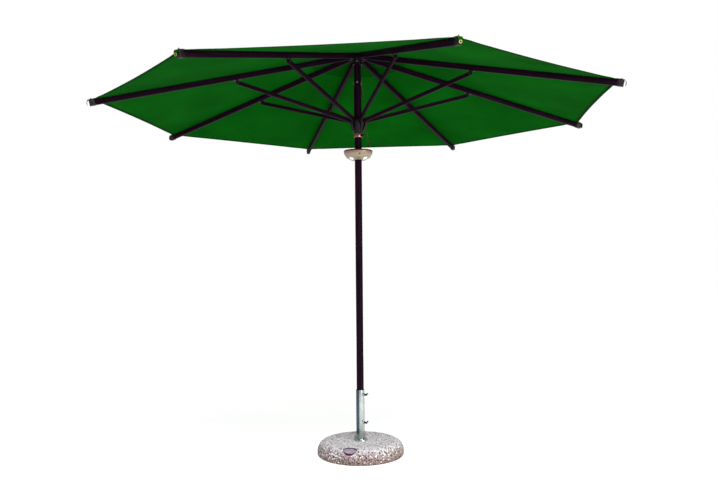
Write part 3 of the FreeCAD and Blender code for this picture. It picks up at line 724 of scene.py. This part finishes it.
def makeCrown():
    # a shallow cone, closed ring by ring from its rim
    low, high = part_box("canopy_crown")
    radius = high.x
    rise = radius * ribSlope
    bpy.ops.mesh.primitive_circle_add(vertices=crown["segments"], radius=radius, fill_type="NOTHING",
                                      location=(0, 0, low.z))
    thing = bpy.context.object
    thing.name = "crownPatch"
    settle(thing)
    bpy.ops.object.mode_set(mode="EDIT")
    bpy.ops.mesh.select_all(action="SELECT")
    for share in crown["rings"]:
        bpy.ops.mesh.extrude_edges_move()
        leaveEdit()
        for vertex in thing.data.vertices:
            if vertex.select:
                flat = Vector((vertex.co.x, vertex.co.y, 0)).normalized() * radius * share
                vertex.co = flat + up * (low.z + rise * (1 - share))
        bpy.ops.object.mode_set(mode="EDIT")
    bpy.ops.mesh.edge_face_add()
    bpy.ops.mesh.select_all(action="SELECT")
    bpy.ops.mesh.normals_make_consistent(inside=False)
    leaveEdit()
    marks = []
    for vertex in thing.data.vertices:
        reach = math.hypot(vertex.co.x, vertex.co.y)
        turn = math.atan2(vertex.co.y, vertex.co.x)
        marks.append((0.05 + abs(turn) * radius, (radius - reach) * 1.4, reach))
    markPoints(thing, "clothAt", marks)
    modify(thing, "SOLIDIFY", thickness=crown["thickness"], offset=1.0)
    smooth(thing, 50)
    finishPiece(thing, "cloth", "mast", "green_cloth", "canopy_crown")


makeCrown()

timber = {"ribEdge": 0.0028, "strutEdge": 0.0024, "ribPlank": 0.37, "strutPlank": 0.53}


def makeFrame():
    for k in range(ribCount):
        tag = k + 1
        start, along, _, sideways = ribPlane(k)
        rib = softened(f"rib_{tag}", f"ribBar{tag}", timber["ribEdge"], "stain", "mahogany_stain")
        # each bar starts elsewhere along the plank, so that no two share their grain
        markGrain(rib, start + along * timber["ribPlank"] * k, along, sideways)
        strut = softened(f"strut_{tag}", f"strutBar{tag}", timber["strutEdge"], "stain", "mahogany_stain")
        pivot = Vector(joints[f"strut_{tag}_fold"]["pos_m"])
        inner = outward(ribAzimuth(k)) * pivotRadius + up * (2 * pivot.z - hubPivot.z)
        run = (pivot - inner).normalized()
        markGrain(strut, inner + run * timber["strutPlank"] * k, run, sideways)
        softened(f"rib_fittings_{tag}", f"ribFittings{tag}", 0.0005, "coated", "fitting_steel", 2)
    mast = softened("mast", "mastPole", 0.0012, "stain", "mahogany_stain")
    markGrain(mast, Vector(), up, Vector((1, 0, 0)))
    finial = softened("finial", "finialTurning", 0.004, "stain", "mahogany_stain", 4, 12)
    markGrain(finial, Vector(), up, Vector((1, 0, 0)))
    print("ribs and struts fitted")


makeFrame()

# the loop runs out past the rib's end and down from the cloth
tab = {
    "width": 0.024, "thickness": 0.0014, "overlap": 0.024, "eyeletOuter": 0.0074, "eyeletInner": 0.0034,
    "pegSetback": 0.012, "capWall": 0.0012, "aboveCloth": 0.0022, "overHem": 0.0008, "columns": 4,
    "loop": [(-0.004, 0), (0.003, 0.0012), (0.0075, 0.0048), (0.0105, 0.0105), (0.0118, 0.017), (0.0120, 0.024),
             (0.0112, 0.030)],
    "widths": [1, 1, 1, 0.98, 0.92, 0.84, 0.78, 0.72, 0.5],
}


def makeEyelet(name, place, facing, k):
    outer, inner = tab["eyeletOuter"], tab["eyeletInner"]
    eyelet = ringPiece(name, 0, (outer + inner) / 2, (outer - inner) / 2, (40, 12))
    eyelet.scale = (1, 1, 0.6)
    settle(eyelet)
    eyelet.rotation_euler = facing.to_track_quat("Z", "Y").to_euler()
    eyelet.location = place
    settle(eyelet)
    smooth(eyelet, 60)
    finishPiece(eyelet, "brass", f"rib_{k + 1}", "brass")


def makeTab(k):
    # webbing tab from the canopy's corner: held on the peg by one eyelet, its end loops down past the rib
    start, along, normal, sideways = ribPlane(k)
    cornerReach = (span["corner"] - pivotRadius) / math.cos(ribFall)
    end = ribLength + tab["capWall"]
    over = span["cloth"] + tab["aboveCloth"]
    profile = [(cornerReach - back, over + tab["overHem"]) for back in (tab["overlap"], 0.006)]
    profile += [(end + out, over - down) for out, down in tab["loop"]]
    points, faces, marks = [], [], []
    columns = tab["columns"]
    for (reach, height), share in zip(profile, tab["widths"]):
        for column in range(columns + 1):
            lateral = (column / columns - 0.5) * tab["width"] * share
            points.append(start + along * reach + normal * height + sideways * lateral)
            marks.append((abs(lateral) + 0.02, 0.1 + reach, reach))
    for row in range(len(profile) - 1):
        for column in range(columns):
            a = row * (columns + 1) + column
            b = a + columns + 1
            faces.append((a, b, b + 1, a + 1))
    thing = meshPiece(f"cornerTab{k + 1}", points, faces)
    markPoints(thing, "clothAt", marks)
    modify(thing, "SOLIDIFY", thickness=tab["thickness"], offset=0.0)
    modify(thing, "SUBSURF", levels=2, render_levels=2)
    smooth(thing, 50)
    finishPiece(thing, "cloth", f"rib_{k + 1}", "green_cloth")
    peg = start + along * (ribLength - tab["pegSetback"]) + normal * (over + 0.0012)
    makeEyelet(f"pegEyelet{k + 1}", peg, normal, k)
    loose = start + along * (end + 0.0126) + normal * (over - 0.0205)
    makeEyelet(f"endEyelet{k + 1}", loose, along, k)


for k in range(ribCount):
    makeTab(k)
print("corner tabs hooked on")


def makeHubAndRunner():
    softened("top_hub", "hubTurning", 0.0012, "black", "hub_black")
    softened("runner", "runnerTurning", 0.0014, "black", "hub_black")
    softened("runner_collar", "runnerCollar", 0.0012, "rose", "copper_collar", 3)
    softened("lock_knob", "lockKnob", 0.0014, "black", "hub_black", 3)
    softened("pulley_wheel", "pulleySheave", 0.0007, "brass", "brass", 3)
    softened("pulley_axle", "pulleyAxle", 0.0007, "bolt", "zinc_fastener", 3)
    softened("hub_bolt", "hubBolt", 0.0006, "bolt", "zinc_fastener", 3)
    softened("mast_foot", "mastFoot", 0.001, "black", "hub_black")
    for node in ("rib_pins", "strut_pins"):
        softened(node, node.replace("_p", "P"), 0.0004, "bolt", "zinc_fastener")


makeHubAndRunner()

foot = {"segments": 384, "relief": 0.0011, "pebble": 115, "shoulder": 0.056, "footRound": 0.014,
        "quietBelow": 0.004, "quietInside": 0.05}


def makeFoot():
    # a turned profile with a round shoulder, then pebbles that stand proud of it
    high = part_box("concrete_base")[1]
    radius, top = high.x, high.z
    shoulder, under = foot["shoulder"], foot["footRound"]
    profile = [(0.0, top)]
    profile += [(0.01 + (radius - shoulder - 0.01) * step / 52, top) for step in range(53)]
    profile += [(radius - shoulder + shoulder * math.sin(a), top - shoulder + shoulder * math.cos(a))
                for a in (math.radians(90 * step / 16) for step in range(1, 17))]
    straight = top - shoulder - under
    profile += [(radius, top - shoulder - straight * step / 8) for step in range(1, 9)]
    profile += [(radius - under + under * math.cos(a), under - under * math.sin(a))
                for a in (math.radians(90 * step / 6) for step in range(1, 7))]
    profile += [(0.1, 0.0), (0.0, 0.0)]
    edges = [(i, i + 1) for i in range(len(profile) - 1)]
    thing = meshPiece("gravelFoot", [(x, 0, z) for x, z in profile], [], edges)
    editAll(thing)
    bpy.ops.mesh.spin(steps=foot["segments"], angle=math.tau, center=(0, 0, 0), axis=(0, 0, 1))
    bpy.ops.mesh.select_all(action="SELECT")
    bpy.ops.mesh.remove_doubles(threshold=0.00001)
    bpy.ops.mesh.normals_make_consistent(inside=False)
    leaveEdit()
    for vertex in thing.data.vertices:
        reach = math.hypot(vertex.co.x, vertex.co.y)
        if vertex.co.z < foot["quietBelow"] or reach < foot["quietInside"]:
            continue
        pebble = noise.voronoi(vertex.co * foot["pebble"])[0][0]
        lift = foot["relief"] * (0.75 - pebble) * 1.5
        if reach > radius - shoulder:
            vertex.co = vertex.co + Vector((vertex.co.x, vertex.co.y, 0)).normalized() * lift
        if vertex.co.z > top - shoulder:
            vertex.co.z += lift
    smooth(thing, 70)
    finishPiece(thing, "gravel", "stand", "concrete", "concrete_base")
    print("concrete foot cast")


makeFoot()

weld = {"radius": 0.0032, "ripple": 0.0006, "ripples": 44}


def makeStem():
    softened("stem_tube", "stemTube", 0.0009, "zinc", "galvanised_steel", 3)
    softened("stem_flange", "stemFlange", 0.0014, "zinc", "galvanised_steel", 3)
    softened("clamp_nuts", "clampNuts", 0.0008, "zinc", "galvanised_steel")
    softened("flange_bolts", "flangeBolts", 0.0008, "bolt", "zinc_fastener")
    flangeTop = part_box("stem_flange")[1].z
    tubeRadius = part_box("stem_tube")[1].x
    bead = ringPiece("weldBead", flangeTop + 0.0003, tubeRadius + 0.0004, weld["radius"], (96, 12))
    settle(bead)
    for vertex in bead.data.vertices:
        turn = math.atan2(vertex.co.y, vertex.co.x)
        if vertex.co.z > flangeTop:
            vertex.co.z += weld["ripple"] * math.sin(turn * weld["ripples"])
    smooth(bead, 60)
    finishPiece(bead, "zinc", "stand", "galvanised_steel")


makeStem()

badge = {"azimuth": -98.6, "reach": 0.222, "halfWidth": 0.039, "halfDepth": 0.027, "proud": 0.002,
         "innerWidth": 0.0372, "innerDepth": 0.0165, "shift": 0.003, "border": 0.0011, "segments": 72}


def makeBadge():
    # a blank oval plate that follows the shoulder, inside a plain raised border
    softened("badge_plate", "badgePlate", 0.0005, "badge", "badge")
    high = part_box("concrete_base")[1]
    ringRadius, ringHeight = high.x - foot["shoulder"], high.z - foot["shoulder"]
    away = outward(math.radians(badge["azimuth"]))
    aside = up.cross(away)
    shell = foot["shoulder"] + badge["proud"]
    points = []
    count = badge["segments"]
    for wide, deep, shift in ((badge["halfWidth"], badge["halfDepth"], 0),
                              (badge["innerWidth"], badge["innerDepth"], badge["shift"])):
        for step in range(count):
            angle = math.tau * step / count
            spot = away * (badge["reach"] + shift + deep * math.sin(angle)) + aside * wide * math.cos(angle)
            beyond = max(0, spot.length - ringRadius)
            points.append(spot + up * (ringHeight + math.sqrt(shell * shell - beyond * beyond)))
    afters = [(step + 1) % count for step in range(count)]
    faces = [(step, after, count + after, count + step) for step, after in enumerate(afters)]
    piece = meshPiece("badgeBorder", points, faces)
    editAll(piece)
    bpy.ops.mesh.normals_make_consistent(inside=False)
    leaveEdit()
    if piece.data.polygons[0].normal.z < 0:
        piece.data.flip_normals()
    modify(piece, "SOLIDIFY", thickness=badge["border"], offset=1.0)
    modify(piece, "BEVEL", width=0.0003, segments=2, limit_method="ANGLE", angle_limit=math.radians(40))
    smooth(piece, 50)
    finishPiece(piece, "badgeRim", "stand", "badge")


makeBadge()

wing = {
    "reach": 0.0098, "height": 0.0466, "length": 0.0078, "width": 0.0052, "thickness": 0.0036, "sweep": 12,
    "lift": {"upper": 26, "lower": 16}, "lean": {"upper": 90, "lower": 100},
    "shankRadius": 0.004, "shankLength": 0.020, "shankMiddle": 0.0315,
    "bossFoot": 0.0064, "bossTop": 0.0048, "bossLength": 0.012, "bossMiddle": 0.045,
}


def makeScrew(which):
    # wing screw: threaded shank, tapered boss and two rounded ears
    node = f"clamp_screw_{which}"
    joint = joints[f"{node}_turn"]
    axis = Vector(joint["axis"])
    heart = Vector((0, 0, joint["pos_m"][2]))
    lean = math.radians(wing["lean"][which])
    earWay = up * math.cos(lean) - up.cross(axis) * math.sin(lean)
    facing = Matrix((earWay, axis.cross(earWay), axis)).transposed().to_4x4()
    made = []
    bpy.ops.object.select_all(action="DESELECT")
    bpy.ops.mesh.primitive_cylinder_add(vertices=28, radius=wing["shankRadius"], depth=wing["shankLength"],
                                        location=(0, 0, wing["shankMiddle"]))
    shank = bpy.context.object
    modify(shank, "BEVEL", width=0.0007, segments=2, limit_method="ANGLE")
    made.append(shank)
    bpy.ops.object.select_all(action="DESELECT")
    bpy.ops.mesh.primitive_cone_add(vertices=32, radius1=wing["bossFoot"], radius2=wing["bossTop"],
                                    depth=wing["bossLength"], location=(0, 0, wing["bossMiddle"]))
    boss = bpy.context.object
    modify(boss, "BEVEL", width=0.0009, segments=3, limit_method="ANGLE")
    made.append(boss)
    for side in (-1, 1):
        bpy.ops.object.select_all(action="DESELECT")
        bpy.ops.mesh.primitive_circle_add(vertices=28, radius=1, fill_type="NGON", location=(0, 0, 0))
        ear = bpy.context.object
        ear.scale = (wing["length"], wing["width"], 1)
        settle(ear)
        editAll(ear)
        bpy.ops.mesh.extrude_region_move(TRANSFORM_OT_translate={"value": (0, 0, wing["thickness"])})
        bpy.ops.mesh.select_all(action="SELECT")
        bpy.ops.transform.translate(value=(0, 0, -wing["thickness"] / 2))
        bpy.ops.mesh.normals_make_consistent(inside=False)
        leaveEdit()
        sweep = Matrix.Rotation(math.radians(-wing["sweep"] * side), 4, "Y")
        stand = Matrix.Rotation(math.radians(90), 4, "X")
        lift = Matrix.Rotation(math.radians(-wing["lift"][which] * side), 4, "Z")
        ear.data.transform(lift @ Matrix.Translation((side * wing["reach"], 0, wing["height"])) @ sweep @ stand)
        modify(ear, "BEVEL", width=0.0011, segments=3, limit_method="ANGLE", angle_limit=math.radians(50))
        made.append(ear)
    pick(*made)
    bpy.ops.object.join()
    screw = bpy.context.object
    screw.name = f"wingScrew{which.capitalize()}"
    settle(screw)
    screw.data.transform(Matrix.Translation(heart) @ facing)
    smooth(screw, 50)
    finishPiece(screw, "screw", node, "dark_screw", node)


makeScrew("upper")
makeScrew("lower")
print("stem and clamp screws fitted")

rimBand = {"radius": 0.0012, "inset": 0.0006, "segments": (128, 10)}


def makeLamp():
    softened("lamp_body", "lampBowl", 0.0011, "champagne", "lamp_beige", 2, 20)
    softened("lamp_cover", "lampLid", 0.0009, "rim", "lamp_beige", 2, 12)
    softened("lamp_button", "lampButton", 0.0010, "black", "hub_black", 3)
    softened("lamp_lenses", "lampLenses", 0.0014, "lens", "lens_white", 3)
    dress(frame["nodes"]["lamp_led_board"], "board")
    low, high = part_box("lamp_cover")
    inset = rimBand["inset"]
    band = ringPiece("lampRimBand", low.z + inset, high.x - inset, rimBand["radius"], rimBand["segments"])
    settle(band)
    smooth(band, 60)
    finishPiece(band, "rim", "lamp", "lamp_beige")
    print("lamp clipped on")


makeLamp()

studio = {"world": 0.46, "backdrop": 1.0, "key": 150, "high": 560, "fill": 6, "front": 12, "glow": 0.56}


def areaLight(name, power, width, place, target):
    data = bpy.data.lights.new(name, "AREA")
    data.shape = "RECTANGLE"
    data.size = width
    data.size_y = width * 0.7
    data.energy = power
    light = linked(name, data)
    light.location = place
    light.rotation_euler = (Vector(target) - Vector(place)).to_track_quat("-Z", "Y").to_euler()


def makeStudio():
    world = bpy.data.worlds.new("softRoom")
    bpy.context.scene.world = world
    world.use_nodes = True
    # soft room light, with a plain white backdrop
    tree = world.node_tree
    room = tree.nodes["Background"]
    room.inputs["Color"].default_value = (1, 1, 1, 1)
    room.inputs["Strength"].default_value = studio["world"]
    backdrop = tree.nodes.new("ShaderNodeBackground")
    backdrop.inputs["Color"].default_value = (1, 1, 1, 1)
    backdrop.inputs["Strength"].default_value = studio["backdrop"]
    ray = tree.nodes.new("ShaderNodeLightPath")
    mix = tree.nodes.new("ShaderNodeMixShader")
    tree.links.new(ray.outputs["Is Camera Ray"], mix.inputs[0])
    tree.links.new(room.outputs[0], mix.inputs[1])
    tree.links.new(backdrop.outputs[0], mix.inputs[2])
    tree.links.new(mix.outputs[0], tree.nodes["World Output"].inputs["Surface"])
    bpy.ops.object.select_all(action="DESELECT")
    bpy.ops.mesh.primitive_plane_add(size=80, location=(0, 0, -0.0002))
    floor = bpy.context.object
    floor.name = "studioFloor"
    paint = Finish("paleFloor", Roughness=0.95, Specular_IOR_Level=0.0)
    paint.shader.inputs["Base Color"].default_value = (0.96, 0.96, 0.96, 1)
    # brighter to the camera than to the part, so that it fades into the backdrop
    seen = paint.out(paint.node("LightPath", {}, {}), "Is Camera Ray")
    paint.set(Emission_Color=paint.blend(seen, tint(226, 226, 226), tint(255, 255, 255)))
    paint.shader.inputs["Emission Strength"].default_value = studio["glow"]
    floor.data.materials.append(paint.material)
    areaLight("keyRight", studio["key"], 3.0, (4.6, -3.4, 1.9), (0, 0, 1.0))
    areaLight("highFront", studio["high"], 2.0, (1.6, -5.4, 7.0), (0, 0, 0.1))
    areaLight("fillLeft", studio["fill"], 3.5, (-4.5, -3.5, 1.8), (0, 0, 1.0))
    areaLight("frontLow", studio["front"], 3.0, (0.8, -6.0, 0.9), (0, 0, 1.4))
    view = bpy.context.scene.view_settings
    view.view_transform = "Standard"
    view.look = "None"


makeStudio()
print("studio lit")
